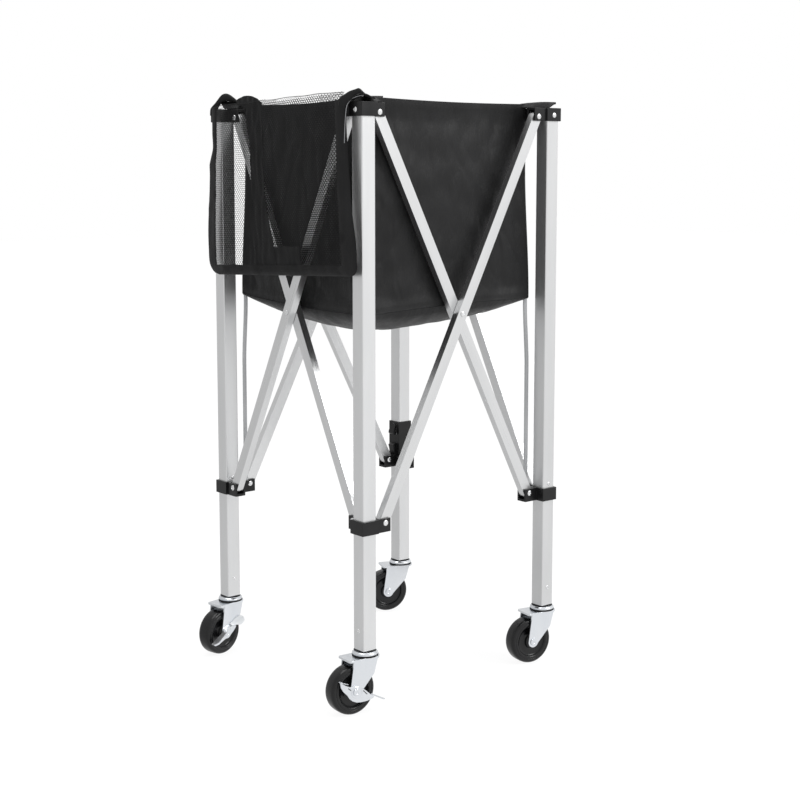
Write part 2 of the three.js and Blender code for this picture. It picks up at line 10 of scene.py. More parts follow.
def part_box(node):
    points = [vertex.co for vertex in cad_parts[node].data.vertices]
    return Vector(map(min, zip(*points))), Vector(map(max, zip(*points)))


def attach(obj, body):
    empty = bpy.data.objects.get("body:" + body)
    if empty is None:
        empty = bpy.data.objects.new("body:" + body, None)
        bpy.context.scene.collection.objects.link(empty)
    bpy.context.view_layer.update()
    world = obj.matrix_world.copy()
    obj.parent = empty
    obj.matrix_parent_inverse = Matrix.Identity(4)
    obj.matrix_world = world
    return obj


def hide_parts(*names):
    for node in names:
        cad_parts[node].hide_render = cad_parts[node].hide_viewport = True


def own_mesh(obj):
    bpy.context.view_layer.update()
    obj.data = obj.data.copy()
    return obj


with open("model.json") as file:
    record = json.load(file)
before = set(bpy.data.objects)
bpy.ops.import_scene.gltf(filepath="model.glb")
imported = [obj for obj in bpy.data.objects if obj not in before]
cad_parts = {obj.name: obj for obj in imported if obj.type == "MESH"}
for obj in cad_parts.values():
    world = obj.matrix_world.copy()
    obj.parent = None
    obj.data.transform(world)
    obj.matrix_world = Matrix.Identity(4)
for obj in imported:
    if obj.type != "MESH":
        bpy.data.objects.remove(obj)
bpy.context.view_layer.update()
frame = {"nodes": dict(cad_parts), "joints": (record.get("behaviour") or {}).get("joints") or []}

MM = 0.001
CORNERS = ("front", "right", "back", "left")
SIDES = ("right_front", "right_back", "left_back", "left_front")
# What turns a corner's own x and y into the cart's
TURNS = ((1, 0, 0, 1), (0, -1, 1, 0), (-1, 0, 0, -1), (0, 1, -1, 0))


def box_mm(name):
    """A CAD node's lowest and highest corner."""
    low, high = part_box(name)
    return np.array(low) / MM, np.array(high) / MM


def middle(name):
    low, high = box_mm(name)
    return (low + high) / 2


LEG = [middle("leg_" + c) for c in CORNERS]
SPACING = LEG[1][0] - LEG[0][0]
JOINTS = {j["name"]: j for j in frame["joints"]}
TOP_LOW, TOP = (b[2] for b in box_mm("top_bracket_front"))
SLIDER_TOP = box_mm("slider_front")[1][2]
LEG_LOW = box_mm("leg_front")[0][2]
BAG_LOW, BAG_TOP = (b[2] for b in box_mm("bag_panel_right_front"))
# The bars' pins stand this far inside the brackets and the sliders
PIN_INSET = 7.0
TOP_PIVOT = TOP_LOW + PIN_INSET
SLIDER_PIVOT = SLIDER_TOP - PIN_INSET


def spot(k, x, y, z):
    """A place in corner k's own frame."""
    a, b, c, d = TURNS[k]
    return np.array([LEG[k][0] + a * x + b * y, LEG[k][1] + c * x + d * y, z])


def direction(k, x, y, z=0.0):
    """A way in corner k's own frame."""
    a, b, c, d = TURNS[k]
    return np.array([a * x + b * y, c * x + d * y, z])


# Materials


def new_material(name):
    made = bpy.data.materials.new(name)
    made.use_nodes = True
    return made, made.node_tree, made.node_tree.nodes["Principled BSDF"]


def fill(tree, made, inputs):
    """Give a node its inputs: a socket is linked, and anything else is set."""
    for name, value in inputs.items():
        if isinstance(value, bpy.types.NodeSocket):
            tree.links.new(value, made.inputs[name])
        else:
            made.inputs[name].default_value = value


def node(tree, kind, inputs, **values):
    made = tree.nodes.new(kind)
    for key, value in values.items():
        setattr(made, key, value)
    fill(tree, made, inputs)
    return made


def dot_with(tree, vector, axis):
    return node(tree, "ShaderNodeVectorMath", {0: vector, 1: axis}, operation="DOT_PRODUCT").outputs["Value"]


def coordinate(tree, kind="Object"):
    return node(tree, "ShaderNodeTexCoord", {}).outputs[kind]


def place_along(tree, along, stretch, scale):
    """A coordinate that is stretched along one direction."""
    a = Vector(along).normalized()
    b = a.orthogonal().normalized()
    c = a.cross(b)
    coord = coordinate(tree)
    sizes = ((a, scale / stretch), (b, scale), (c, scale))
    inputs = {i: dot_with(tree, coord, axis * size) for i, (axis, size) in enumerate(sizes)}
    return node(tree, "ShaderNodeCombineXYZ", inputs).outputs[0]


def noise_on(tree, vector, detail=4.0, rough=0.55, scale=1.0):
    inputs = {"Vector": vector, "Scale": scale, "Detail": detail, "Roughness": rough}
    return node(tree, "ShaderNodeTexNoise", inputs).outputs["Fac"]


def mapped(tree, value, low, high, start=0.3, end=0.7):
    """A value taken from between start and end, where most of a noise lies, to between low and high."""
    inputs = {"Value": value, "From Min": start, "From Max": end, "To Min": low, "To Max": high}
    return node(tree, "ShaderNodeMapRange", inputs).outputs["Result"]


def mixed_colour(tree, value, first, second):
    inputs = {"Factor": mapped(tree, value, 0, 1), "A": (*first, 1), "B": (*second, 1)}
    return node(tree, "ShaderNodeMix", inputs, data_type="RGBA").outputs["Result"]


def bumped(tree, shader, value, strength, distance, before=None):
    """Bump a shader's surface, over the normal before it if there is one."""
    inputs = {"Height": value, "Strength": strength, "Distance": distance}
    if before is not None:
        inputs["Normal"] = before
    normal = node(tree, "ShaderNodeBump", inputs).outputs["Normal"]
    tree.links.new(normal, shader.inputs["Normal"])
    return normal


UPRIGHT = (0, 0, 1)
FINE_RELIEF = 0.0002


def metal(name, along, first, second, rough, streak=80.0, scale=700.0, bump=0.02, metallic=1.0):
    """Metal with fine streaks and a broad change of tone along the way that it was drawn."""
    made, tree, shader = new_material(name)
    fine = noise_on(tree, place_along(tree, along, streak, scale))
    broad = noise_on(tree, place_along(tree, along, stretch=6.0, scale=28.0), detail=3.0)
    fill(tree, shader, {
        "Base Color": mixed_colour(tree, broad, first, second),
        "Roughness": mapped(tree, fine, *rough),
        "Metallic": metallic,
    })
    bumped(tree, shader, fine, bump, FINE_RELIEF)
    return made


def moulded(name, first, second, rough, grain=1400.0, bump=0.12, coat=0.0):
    """Plastic or rubber with a fine grain."""
    made, tree, shader = new_material(name)
    coarse = noise_on(tree, place_along(tree, UPRIGHT, stretch=1.0, scale=45.0))
    fine = noise_on(tree, place_along(tree, UPRIGHT, stretch=1.0, scale=grain), detail=2.0)
    fill(tree, shader, {
        "Base Color": mixed_colour(tree, coarse, first, second),
        "Roughness": mapped(tree, coarse, *rough),
        "Specular IOR Level": 0.32,
        "Coat Weight": coat,
        "Coat Roughness": 0.12,
    })
    bumped(tree, shader, fine, bump, FINE_RELIEF)
    return made


def woven(name, first, second, rough=(0.55, 0.72), thread=0.45, bump=0.35, sheen=0.25):
    """Cloth: fine threads both ways over soft creases. Thread is the weave's pitch in millimetres."""
    made, tree, shader = new_material(name)
    coord = coordinate(tree)
    waves = []
    for axis in ((1, 1, 0), UPRIGHT):
        turns = dot_with(tree, coord, Vector(axis) * (2 * math.pi / (thread * MM)))
        waves.append(node(tree, "ShaderNodeMath", {0: turns}, operation="SINE").outputs[0])
    threads = node(tree, "ShaderNodeMath", dict(enumerate(waves)), operation="MULTIPLY").outputs[0]
    crease = noise_on(tree, place_along(tree, UPRIGHT, stretch=2.6, scale=60.0), detail=6.0, rough=0.62)
    tone = noise_on(tree, place_along(tree, UPRIGHT, stretch=1.6, scale=14.0), detail=5.0)
    fill(tree, shader, {
        "Base Color": mixed_colour(tree, tone, first, second),
        "Roughness": mapped(tree, crease, *rough),
        "Specular IOR Level": 0.22,
        "Sheen Weight": sheen,
        "Sheen Roughness": 0.4,
    })
    soft = bumped(tree, shader, crease, strength=bump, distance=0.002)
    bumped(tree, shader, threads, strength=0.25, distance=0.0001, before=soft)
    return made


BAR_WIDTH = 18


def bar_direction(k, kind):
    low, high = box_mm(f"{kind}_bar_{SIDES[k]}")
    across = (high[0] - low[0] if k % 2 == 0 else high[1] - low[1]) - BAR_WIDTH
    lean = across if kind == "inner" else -across
    return direction(k, lean, 0, -(high[2] - low[2] - BAR_WIDTH))


# Painted shade: the legs' brightness differs a little in the photo, so each leg's colour is darkened as a
# share of the front one's
LEG_PAINTED_SHADES = (1.0, 0.93, 0.95, 0.98)
LEG_METALS = [
    metal(f"drawn_aluminium_{corner}", UPRIGHT, (0.73 * tone, 0.735 * tone, 0.74 * tone),
          (0.78 * tone, 0.785 * tone, 0.79 * tone), (0.3, 0.36), metallic=0.88)
    for corner, tone in zip(CORNERS, LEG_PAINTED_SHADES)
]
BAR_METALS = {
    (k, kind): metal(f"bar_aluminium_{k}_{kind}", bar_direction(k, kind), (0.74, 0.745, 0.75),
                     (0.8, 0.805, 0.81), (0.27, 0.33))
    for k in range(4) for kind in ("inner", "outer")
}
ZINC = metal("bright_zinc", UPRIGHT, (0.76, 0.79, 0.83), (0.86, 0.88, 0.91), (0.2, 0.27), streak=1.0,
             scale=90.0, bump=0.03)
STEEL = metal("rivet_steel", UPRIGHT, (0.78, 0.79, 0.8), (0.9, 0.9, 0.9), (0.16, 0.26), streak=1.0,
              scale=400.0, bump=0.05)
PLASTIC = moulded("black_plastic", (0.005, 0.005, 0.0055), (0.009, 0.009, 0.0095), (0.3, 0.4))
TYRE = moulded("wheel_black", (0.0035, 0.0035, 0.004), (0.007, 0.007, 0.0075), (0.2, 0.3), grain=500.0,
               bump=0.05, coat=0.15)
# Zinc darkened for the left lever's tail: a painted dark reflection
ZINC_DARK_REFLECTION = metal("zinc_painted_reflection", UPRIGHT, (0.16, 0.163, 0.168), (0.4, 0.405, 0.41), (0.3, 0.45), streak=1.0,
                  scale=900.0, bump=0.3, metallic=0.6)
# Pale, less metallic zinc for the left lever's pedal: a painted highlight
ZINC_HIGHLIGHT = metal("zinc_painted_highlight", UPRIGHT, (0.8, 0.82, 0.84), (0.88, 0.9, 0.92), (0.3, 0.4), streak=1.0,
                  scale=90.0, bump=0.03, metallic=0.3)
# Dark grey for the levers' slots: painted shade in the pressed recesses
SLOT_SHADE = moulded("painted_slot_shade", (0.05, 0.052, 0.055), (0.09, 0.092, 0.095), (0.4, 0.5))
# Near black for the ring of painted shade in the gap between caster race and yoke
GAP_SHADE = moulded("painted_gap_shade", (0.004, 0.004, 0.004), (0.007, 0.007, 0.007), (0.5, 0.6))
NYLON = woven("black_nylon", (0.007, 0.007, 0.0073), (0.012, 0.012, 0.0124), rough=(0.36, 0.52), bump=0.75,
              sheen=0.02)
BINDING = woven("black_binding", (0.005, 0.005, 0.0053), (0.01, 0.01, 0.0104), thread=1.1, sheen=0.02)
NET = woven("black_net", (0.005, 0.005, 0.0053), (0.009, 0.009, 0.0094), thread=0.9, bump=0.1, sheen=0.02)
# Pale cloth for a painted highlight along the front strap's edge
EDGE_HIGHLIGHT = woven("painted_edge_highlight", (0.2, 0.2, 0.21), (0.3, 0.3, 0.31), thread=0.8, bump=0.2, sheen=0.05)
ELASTIC = woven("pale_elastic", (0.38, 0.39, 0.4), (0.5, 0.51, 0.52), thread=0.8, bump=0.2, sheen=0.05)

# Mesh tools

# Above these angles in degrees an edge is shaded sharp, from stamped sheet to soft cloth and round cord
STAMPED, HARD, TURNED, SOFT, ROUND = 30.0, 38.0, 50.0, 60.0, 80.0
BEVEL_ANGLE = 32.0
POINT_MERGE = 1e-7
NODE_MERGE = 1e-6


def smooth_with(mesh, material):
    mesh.polygons.foreach_set("use_smooth", [True] * len(mesh.polygons))
    mesh.materials.append(material)


def piece(name, points, faces, material, body, hides=(), sharp=HARD, bevel=0.0):
    """A mesh that rides a body and takes the place of the CAD nodes that it hides."""
    mesh = bpy.data.meshes.new(name)
    mesh.from_pydata([tuple(np.asarray(p, float) * MM) for p in points], [], [tuple(f) for f in faces])
    bm = bmesh.new()
    bm.from_mesh(mesh)
    bmesh.ops.remove_doubles(bm, verts=bm.verts, dist=POINT_MERGE)
    bmesh.ops.recalc_face_normals(bm, faces=bm.faces)
    bm.to_mesh(mesh)
    bm.free()
    smooth_with(mesh, material)
    mesh.set_sharp_from_angle(angle=math.radians(sharp))
    made = bpy.data.objects.new(name, mesh)
    bpy.context.scene.collection.objects.link(made)
    if bevel:
        add_bevel(made, bevel)
    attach(made, body)
    if hides:
        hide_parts(*hides)
    return made


def add_bevel(made, width):
    bevel = made.modifiers.new("edges", "BEVEL")
    bevel.width = width * MM
    bevel.segments = 2
    bevel.limit_method = "ANGLE"
    bevel.angle_limit = math.radians(BEVEL_ANGLE)
    bevel.harden_normals = True


def finish_node(name, material, edge):
    """A CAD node that stays: its finish, and broken edges."""
    made = frame["nodes"][name]
    mesh = made.data
    old = mesh.attributes.get("custom_normal")
    if old is not None:
        mesh.attributes.remove(old)
    mesh.materials.clear()
    smooth_with(mesh, material)
    made.modifiers.new("weld", "WELD").merge_threshold = NODE_MERGE
    add_bevel(made, edge)
    made.modifiers.new("shading", "WEIGHTED_NORMAL").weight = 80


def shares(count):
    """Even steps from 0 to 1."""
    return [i / (count - 1) for i in range(count)]


def angles(count):
    """Even steps round a circle."""
    return np.linspace(0, 2 * math.pi, count + 1)[:-1]


def oval(across, up, sides=8):
    return [(across * math.cos(a), up * math.sin(a)) for a in angles(sides)]


def grid_faces(rows, columns, close_rows=False, close_columns=False, start=0):
    faces = []
    for r in range(rows if close_rows else rows - 1):
        for c in range(columns if close_columns else columns - 1):
            a, b = r * columns, (r + 1) % rows * columns
            d = (c + 1) % columns
            faces.append((start + a + c, start + a + d, start + b + d, start + b + c))
    return faces


def capped(rows):
    """Points and faces of a tube through rows of section points, closed at both ends."""
    sides = len(rows[0])
    points = [p for row in rows for p in row]
    faces = grid_faces(len(rows), sides, False, True)
    faces.append(tuple(range(sides))[::-1])
    faces.append(tuple(range(len(points) - sides, len(points))))
    return points, faces


def turned(profile, origin, axis, sides=48, close=False):
    """Points and faces of a profile of (radius, along) turned about an axis."""
    n = Vector(axis).normalized()
    u = n.orthogonal().normalized()
    w = n.cross(u)
    points = []
    for r, along in profile:
        for i in range(sides):
            t = 2 * math.pi * i / sides
            points.append(np.array(origin) + np.array(n * along + (u * math.cos(t) + w * math.sin(t)) * r))
    return points, grid_faces(len(profile), sides, close, True)


def joined(*parts):
    points, faces = [], []
    for p, f in parts:
        start = len(points)
        points.extend(p)
        faces.extend([tuple(i + start for i in g) for g in f])
    return points, faces


def shell(surface, thickness, flip=False):
    """A closed sheet from a grid of points, with its second face set back by the thickness."""
    surface = np.asarray(surface, float)
    rows, columns = surface.shape[:2]
    across = np.gradient(surface, axis=1)
    down = np.gradient(surface, axis=0)
    normal = np.cross(across, down)
    size = np.linalg.norm(normal, axis=2, keepdims=True)
    size[size < 1e-9] = 1
    normal /= size
    back = surface + normal * (thickness if flip else -thickness)
    points = list(surface.reshape(-1, 3)) + list(back.reshape(-1, 3))
    count = rows * columns
    faces = grid_faces(rows, columns) + grid_faces(rows, columns, start=count)
    rim = [(0, c) for c in range(columns)] + [(r, columns - 1) for r in range(1, rows)]
    rim += [(rows - 1, c) for c in range(columns - 2, -1, -1)] + [(r, 0) for r in range(rows - 2, 0, -1)]
    for i, (r, c) in enumerate(rim):
        r2, c2 = rim[(i + 1) % len(rim)]
        a, b = r * columns + c, r2 * columns + c2
        faces.append((a, b, b + count, a + count))
    return points, faces


def tube(path, section, up=UPRIGHT):
    """A section of (side, up) points swept along a path, closed at both ends."""
    path = np.asarray(path, float)
    rows = []
    for place, along in zip(path, np.gradient(path, axis=0)):
        ahead = along / np.linalg.norm(along)
        side = np.cross(ahead, np.asarray(up, float))
        side /= np.linalg.norm(side)
        lift = np.cross(side, ahead)
        rows.append([place + side * a + lift * b for a, b in section])
    return capped(rows)


def ease(x):
    x = np.clip(x, 0, 1)
    return x * x * (3 - 2 * x)


def ripple(x, y, z, scale):
    """A smooth noise whose waves are about a scale long."""
    return noise.noise(Vector((x / scale, y / scale, z / scale)))


def round_tip(t, start, length, least):
    """The share of its width that a blade keeps towards a round tip."""
    return math.sqrt(max(1 - max(0, (t - start) / length) ** 2, least))


# Carried metal and plastic

for k, corner in enumerate(CORNERS):
    finish_node(f"leg_{corner}", LEG_METALS[k], edge=0.4)
    finish_node(f"top_bracket_{corner}", PLASTIC, edge=1.2)
    finish_node(f"slider_{corner}", PLASTIC, edge=0.45 if corner == "back" else 1.0)
    finish_node(f"leg_plug_{corner}", PLASTIC, edge=0.3)
    finish_node(f"caster_stem_{corner}", ZINC, edge=0.5)
    finish_node(f"caster_yoke_{corner}", ZINC, edge=0.7)
    for kind in ("inner", "outer"):
        finish_node(f"{kind}_bar_{SIDES[k]}", BAR_METALS[k, kind], edge=0.8)

# Rivets and screws

# The hole in a hollow rivet's head: shares of its radius and of the dome's height
HOLE_SHARES = ((1, 0.92), (0.82, 0.5), (0, 0.4))
RIVET_SIDES = 28
RIVET_RADIUS = 4.6
RIVET_DOME = 1.6
# Where the pins stand along a side, and the two faces of the outer and of the inner fork across it
PIN_ALONG = 31.0
OUTER_FORK = (-12.3, 6.8)
INNER_FORK = (0.2, 19.3)
CAP_FACE = -15.5
CAP_RIVET_UP = 9.5
LEG_HALF = 12.5
CASTER_SCREW_UP = 30.0
STOP_SCREW_UP = 7.0
# The crossing rivets: their seats outside and inside the bars, and their shaft
CROSS_SEATS = (-9.05, 16.05)
CROSS_SHAFT = [(0, -24.8), (2.4, -24.8), (2.4, 0)]


def rivet(reach, radius, dome, hole=0.0):
    """A turned rivet head's profile, from its seat outwards."""
    steps = [(radius * math.cos(t), dome * math.sin(t)) for t in np.linspace(0, math.pi / 2, 7)]
    seat = [(0, -reach), (radius, -reach), (radius, 0)]
    if not hole:
        return [*seat, *steps[1:-1], (0, dome)]
    lip = [(r, h) for r, h in steps if r > hole]
    return [*seat, *lip[1:], *((hole * r, dome * h) for r, h in HOLE_SHARES)]


def add_rivets(name, body, places, radius=RIVET_RADIUS, dome=RIVET_DOME, hole=1.7):
    profile = rivet(0.3, radius, dome, hole)
    parts = [turned(profile, origin, axis, RIVET_SIDES) for origin, axis in places]
    piece(name, *joined(*parts), STEEL, body)


for k, corner in enumerate(CORNERS):
    # The brackets' pivot pins are riveted over on their outside faces, and a third rivet holds each cap
    add_rivets(f"top_rivets_{corner}", f"frame_{corner}", [
        (spot(k, PIN_ALONG, INNER_FORK[0], TOP_PIVOT), direction(k, 0, -1)),
        (spot(k, OUTER_FORK[0], PIN_ALONG, TOP_PIVOT), direction(k, -1, 0)),
    ])
    add_rivets(f"cap_rivet_{corner}", f"frame_{corner}", [
        (spot(k, CAP_FACE, 0, TOP_LOW + CAP_RIVET_UP), direction(k, -1, 0)),
    ], radius=4.2, dome=1.5)
    add_rivets(f"slider_rivets_{corner}", f"slide_{corner}", [
        (spot(k, PIN_ALONG, OUTER_FORK[0], SLIDER_PIVOT), direction(k, 0, -1)),
        (spot(k, INNER_FORK[0], PIN_ALONG, SLIDER_PIVOT), direction(k, -1, 0)),
        (spot(k, PIN_ALONG, OUTER_FORK[1], SLIDER_PIVOT), direction(k, 0, 1)),
        (spot(k, INNER_FORK[1], PIN_ALONG, SLIDER_PIVOT), direction(k, 1, 0)),
    ])
    # Screws in the leg: one holds the caster's plug, and one on the right and left legs stops the slider
    way = 1 if corner == "left" else -1
    heights = [LEG_LOW + CASTER_SCREW_UP]
    if corner in ("right", "left"):
        heights.append(SLIDER_TOP + STOP_SCREW_UP)
    places = [(spot(k, LEG_HALF * way, 0, z), direction(k, way, 0)) for z in heights]
    add_rivets(f"leg_screws_{corner}", f"frame_{corner}", places, radius=3.1, dome=1.1, hole=1.3)

for k, side in enumerate(SIDES):
    z = (TOP_PIVOT + SLIDER_PIVOT) / 2
    half = SPACING / 2
    head = rivet(0.0, RIVET_RADIUS, RIVET_DOME, 1.5)[2:]
    end = rivet(0, RIVET_RADIUS, 1.5)[1:]
    points, faces = joined(
        turned([*CROSS_SHAFT, *head], spot(k, half, CROSS_SEATS[0], z), direction(k, 0, -1), RIVET_SIDES),
        turned([(0, 0.0), *end], spot(k, half, CROSS_SEATS[1], z), direction(k, 0, 1), RIVET_SIDES),
    )
    piece(f"cross_rivet_{side}", points, faces, STEEL, f"inner_{side}", (f"crossing_rivet_{side}",))

# Casters

# The axle's distance behind the swivel's, the wheel's radius, and the outside faces of yoke and lever
TRAIL = 28.0
WHEEL_RADIUS = 38.0
YOKE_FACE = 17.85
LEVER_FACE = 20.15
# Half of the wheel's section, from its bore out to the tread's middle, as (radius, out from the middle)
WHEEL_PROFILE = [
    (4.3, 14.7), (9.5, 14.7), (11.2, 14.2), (12, 12.8), (12.2, 9.4), (13, 8.6), (16, 8.3), (21.5, 8.3),
    (24.4, 8.9), (25.6, 10.4), (26.4, 12.1), (27.6, 12.8), (29.2, 13), (30.4, 12.75), (31, 12.2),
    (31.6, 12.6), (32.6, 12.75), (34, 12.5), (35.6, 11.7), (36.9, 10.2), (37.7, 8), (38, 5), (38, 0),
]
AXLE_SHAFT = [(0, -20), (4.0, -20), (4.0, 0)]
AXLE_HEAD = [(5.9, 0), (6.1, 0.5), (5.7, 1.3), (4.4, 1.9), (2.6, 2.1), (1.8, 1.5), (0, 1.3)]
# The race's groove, a dark ring of painted shade: how deep it lies, how far it stands out, how high it is and
# how far its foot is sunk
GROOVE_DEPTH = 2.0
GROOVE_OUT = 0.2
GROOVE_HEIGHT = 1.5
GROOVE_SINK = 0.1


def caster_angle(k):
    ax, ay, _ = JOINTS["wheel_" + CORNERS[k]]["axis"]
    return math.atan2(-ax, ay)


def axle_direction(k):
    t = caster_angle(k)
    return np.array([-math.sin(t), math.cos(t), 0])


def caster_spot(k, x, y, z):
    """A place in a caster's own frame: x towards its wheel, y along the axle."""
    t = caster_angle(k)
    return np.array([LEG[k][0] + x * math.cos(t) - y * math.sin(t),
                     LEG[k][1] + x * math.sin(t) + y * math.cos(t), z])


for k, corner in enumerate(CORNERS):
    axis = axle_direction(k)
    hub = caster_spot(k, TRAIL, 0, WHEEL_RADIUS)
    profile = WHEEL_PROFILE + [(r, -y) for r, y in reversed(WHEEL_PROFILE[:-1])]
    points, faces = turned(profile, hub, axis, sides=72, close=True)
    piece(f"wheel_look_{corner}", points, faces, TYRE, f"wheel_{corner}", (f"wheel_{corner}",), sharp=TURNED)
    seat = LEVER_FACE if f"brake_{corner}" in JOINTS else YOKE_FACE
    points, faces = joined(
        turned([*AXLE_SHAFT, *AXLE_HEAD], hub + axis * seat, axis, sides=32),
        turned([(0, 0.0), *AXLE_HEAD], hub - axis * YOKE_FACE, -axis, sides=32),
    )
    piece(f"axle_look_{corner}", points, faces, ZINC, f"swivel_{corner}", (f"axle_{corner}",))
    # The groove, a ring of painted shade, lies between the yoke's head and the plate on the stem
    stem_low, stem_high = box_mm(f"caster_stem_{corner}")
    race = (stem_high[0] - stem_low[0]) / 2
    inside, outside = race - GROOVE_DEPTH, race + GROOVE_OUT
    foot = box_mm(f"caster_yoke_{corner}")[1][2] - GROOVE_SINK
    head = foot + GROOVE_HEIGHT
    groove = [(inside, foot), (outside, foot), (outside, head), (inside, head)]
    points, faces = turned(groove, spot(k, 0, 0, 0), UPRIGHT, sides=72, close=True)
    piece(f"race_gap_shade_{corner}", points, faces, GAP_SHADE, f"frame_{corner}")

# Brake levers

# Each lever's plate, its pedal's two ends, width and slope, its tail's two ends and width, and its tilt
LEVERS = {
    0: ([(35.1, 4.9), (24.6, 3.8), (14.6, 3.9), (9.4, 6.8), (1.3, 9), (-7.4, 8.6), (-14.9, 7.6), (-25.2, 4.8),
         (-34.4, 3.4), (-34, 0.2), (-24.4, -7.1), (-16.5, -11.3), (-8, -14.3), (0.3, -14.6), (7.8, -12.7),
         (13.9, -9.1), (22.9, -6.3), (30.2, -1.7)], (-26, -52, 10, 0), (22, 37, 6), 27),
    3: ([(36, 4.6), (27.5, 5.7), (14.2, 5.7), (6, 7.4), (0, 9), (-8, 8.4), (-15, 6.4), (-22, 5), (-23, 0),
         (-21.9, -4), (-13.8, -6.9), (-5.6, -8.4), (0.9, -9.5), (9, -6.9), (18.1, -5.9), (25.5, -5.5),
         (32.5, -2.5)], (-13, -40, 13, 9), (5, 37, 12), -26),
}
# The plate's rows of points, as (inset of the outline, height over the yoke)
PLATE_ROWS = ((0.0, 0.0), (0.0, 1.3), (0.7, 2.0))
HUB_DISC = [(0, 0), (9.4, 0), (9.4, 2.2), (8.6, 2.7), (6.5, 2.3), (0, 2.3)]
LEVER_SLOTS = (((17.2, 1.1), (10.9, -0.3)), ((-10.5, 5.8), (-19.7, 2.8)))
SHEET = 1.3
PEDAL_UP = 5.4
PEDAL_CURL = 0.8
PEDAL_ROOT_SHARE = 0.35
TAIL_UP = 6.2
TAIL_DROP = 1.4
TAIL_WAVE = 0.25
TAIL_ROOT_SHARE = 0.7


def lever(k):
    """A stamped plate with rounded edges and pressed slots, drawn as strips of painted shade, a flared pedal
    and a folded tail.
    """
    outline, pedal, tail, degrees = LEVERS[k]
    corner = CORNERS[k]
    body = f"brake_{corner}"
    tilt = math.radians(degrees)

    def at(x, y, z):
        return caster_spot(k, TRAIL + x * math.cos(tilt) - z * math.sin(tilt), y,
                           WHEEL_RADIUS + x * math.sin(tilt) + z * math.cos(tilt))

    centre = np.mean(outline, axis=0)
    rows = []
    for inset, lift in PLATE_ROWS:
        row = []
        for x, z in outline:
            away = np.array([x, z]) - centre
            away /= np.linalg.norm(away)
            row.append(at(x - away[0] * inset, YOKE_FACE + lift, z - away[1] * inset))
        rows.append(row)
    plate = joined(capped(rows), turned(HUB_DISC, at(0, YOKE_FACE, 0), axle_direction(k), sides=36))

    # Pedal: a thin blade that flares, with a round tip
    start, end, width, slope = pedal
    blade = []
    for t in shares(13):
        flare = PEDAL_ROOT_SHARE + (1 - PEDAL_ROOT_SHARE) * ease(t * 1.8)
        half = width / 2 * flare * round_tip(t, 0.62, 0.39, 0.02)
        row = []
        for s in shares(9):
            y = width / 2 * flare + half * (2 * s - 1)
            z = PEDAL_UP + slope * (0.45 - y / width) + PEDAL_CURL * math.sin(math.pi * s)
            row.append(at(start + (end - start) * t, YOKE_FACE + y, z))
        blade.append(row)
    piece(f"lever_pedal_{corner}", *shell(blade, SHEET), ZINC_HIGHLIGHT if k == 3 else ZINC, body, sharp=STAMPED)
    piece(f"lever_look_{corner}", *plate, ZINC, body, (f"brake_lever_{corner}",), sharp=STAMPED)

    # Tail: a flap folded out along the plate's top edge, with a round end
    start, end, width = tail
    flap = []
    for i, t in enumerate(shares(13)):
        wide = width * (TAIL_ROOT_SHARE + (1 - TAIL_ROOT_SHARE) * t) * round_tip(t, 0.7, 0.31, 0.03)
        flap.append([
            at(start + (end - start) * t, YOKE_FACE + 1 + (wide - 1) * s,
               TAIL_UP - TAIL_DROP * t + TAIL_WAVE * math.sin(j * 3 + i * 1.5))
            for j, s in enumerate(shares(7))
        ])
    piece(f"lever_tail_{corner}", *shell(flap, SHEET), ZINC_DARK_REFLECTION if k == 3 else ZINC, body, sharp=STAMPED)

    # Two slots beside the hub, as thin strips of painted shade
    slots = []
    for (x0, z0), (x1, z1) in LEVER_SLOTS:
        line = [at(x0 + (x1 - x0) * t, YOKE_FACE + 2.0, z0 + (z1 - z0) * t) for t in np.linspace(0, 1, 7)]
        slots.append(tube(line, oval(0.75, 0.25), up=axle_direction(k)))
    piece(f"lever_slot_shade_{corner}", *joined(*slots), SLOT_SHADE, body, sharp=SOFT)


lever(0)
lever(3)

# Latch

LATCH_SEAT = 0.2
# Shares of the button's height where its slope ends and its chin turns in, and of its reach at head and chin
LATCH_SLOPE_SHARE = 0.7
LATCH_CHIN_SHARE = 0.86
LATCH_HEAD_SHARE = 0.2
LATCH_REACH_SHARE = 0.98
GRIP_SHARE = 0.05
GRIP_RIBS = 6


def latch():
    """The button leans out from the tower to its chin, with grip ribs across it."""
    low, high = box_mm("latch_button")
    reach, height = high[0] - low[0], high[2] - low[2]
    x_in, y_low, y_high = high[0] - LATCH_SEAT, low[1] + LATCH_SEAT, high[1] - LATCH_SEAT
    rows = []
    for s in shares(25):
        out = LATCH_HEAD_SHARE + (LATCH_REACH_SHARE - LATCH_HEAD_SHARE) * min(s / LATCH_SLOPE_SHARE, 1)
        if s >= LATCH_CHIN_SHARE:
            out = LATCH_REACH_SHARE - 0.5 * (s - LATCH_CHIN_SHARE) / (1 - LATCH_CHIN_SHARE)
        elif s > LATCH_HEAD_SHARE:
            out -= GRIP_SHARE * (0.5 + 0.5 * math.cos(s * 2 * math.pi * GRIP_RIBS))
        x_out, z = high[0] - reach * out, high[2] - height * s
        rows.append([(x_in, y_low, z), (x_out, y_low, z), (x_out, y_high, z), (x_in, y_high, z)])
    piece("latch_look", *capped(rows), PLASTIC, "latch", ("latch_button",), bevel=0.4)


latch()

# Elastic cords

# A cord's place inside its leg, along both sides, and what it leans in between two heights over the slider
CORD_IN = 21.0
CORD_LEAN = 2.6
CORD_LEAN_FROM = 200
CORD_LEAN_OVER = 110
CORD_BEHIND_BAG = 70
CORD_RADIUS = 3.3
CORD_RIB = 0.22
CORD_STEP = 0.9


